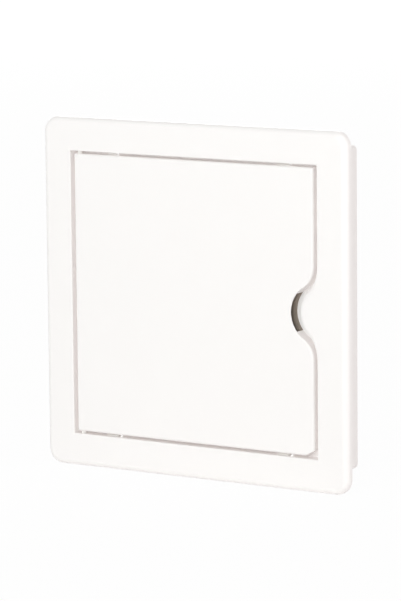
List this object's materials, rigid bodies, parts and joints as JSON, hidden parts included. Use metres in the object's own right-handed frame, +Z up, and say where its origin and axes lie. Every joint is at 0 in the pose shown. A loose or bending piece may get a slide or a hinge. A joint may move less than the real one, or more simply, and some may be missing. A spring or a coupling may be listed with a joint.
{
  "type": "access panel",
  "caption": "Square white access panel: a flanged frame with a perforated skirt, and a flush hinged door opened by a rounded finger notch at its free edge.",
  "frame": {"origin": "centre of the cut-out, in the plane of the wall's face that the flange rests on", "axes": "+X to the right seen from the room, +Y back into the wall, +Z up"},
  "size_m": [0.218, 0.031, 0.218],
  "materials": {
    "frame_abs": "satin moulded white",
    "door_abs": "satin moulded white",
    "cup_plastic": "matt taupe",
    "pin_acetal": "natural white, drawn smooth",
    "catch_acetal": "natural white, moulded"
  },
  "bodies": {
    "frame": {"frame": "frame_abs"},
    "door": {"door_leaf": "door_abs", "finger_cup": "cup_plastic", "hinge_pin_upper": "pin_acetal", "hinge_pin_lower": "pin_acetal"},
    "upper_left_catch": {"catch_upper_left": "catch_acetal"},
    "upper_right_catch": {"catch_upper_right": "catch_acetal"},
    "lower_left_catch": {"catch_lower_left": "catch_acetal"},
    "lower_right_catch": {"catch_lower_right": "catch_acetal"}
  },
  "joints": [
    {"name": "door_hinge", "type": "hinge", "parent": "frame", "child": "door", "pos_m": [-0.0833, -0.0025, 0], "axis": [0, 0, -1], "range_deg": [0, 105]},
    {"name": "upper_left_catch_flex", "type": "hinge", "parent": "frame", "child": "upper_left_catch", "pos_m": [-0.062, 0.011, 0.09325], "axis": [-1, 0, 0], "range_deg": [0, 6], "stiffness_Nm_per_rad": 0.5},
    {"name": "upper_right_catch_flex", "type": "hinge", "parent": "frame", "child": "upper_right_catch", "pos_m": [0.062, 0.011, 0.09325], "axis": [-1, 0, 0], "range_deg": [0, 6], "stiffness_Nm_per_rad": 0.5},
    {"name": "lower_left_catch_flex", "type": "hinge", "parent": "frame", "child": "lower_left_catch", "pos_m": [-0.062, 0.011, -0.09325], "axis": [1, 0, 0], "range_deg": [0, 6], "stiffness_Nm_per_rad": 0.5},
    {"name": "lower_right_catch_flex", "type": "hinge", "parent": "frame", "child": "lower_right_catch", "pos_m": [0.062, 0.011, -0.09325], "axis": [1, 0, 0], "range_deg": [0, 6], "stiffness_Nm_per_rad": 0.5}
  ]
}
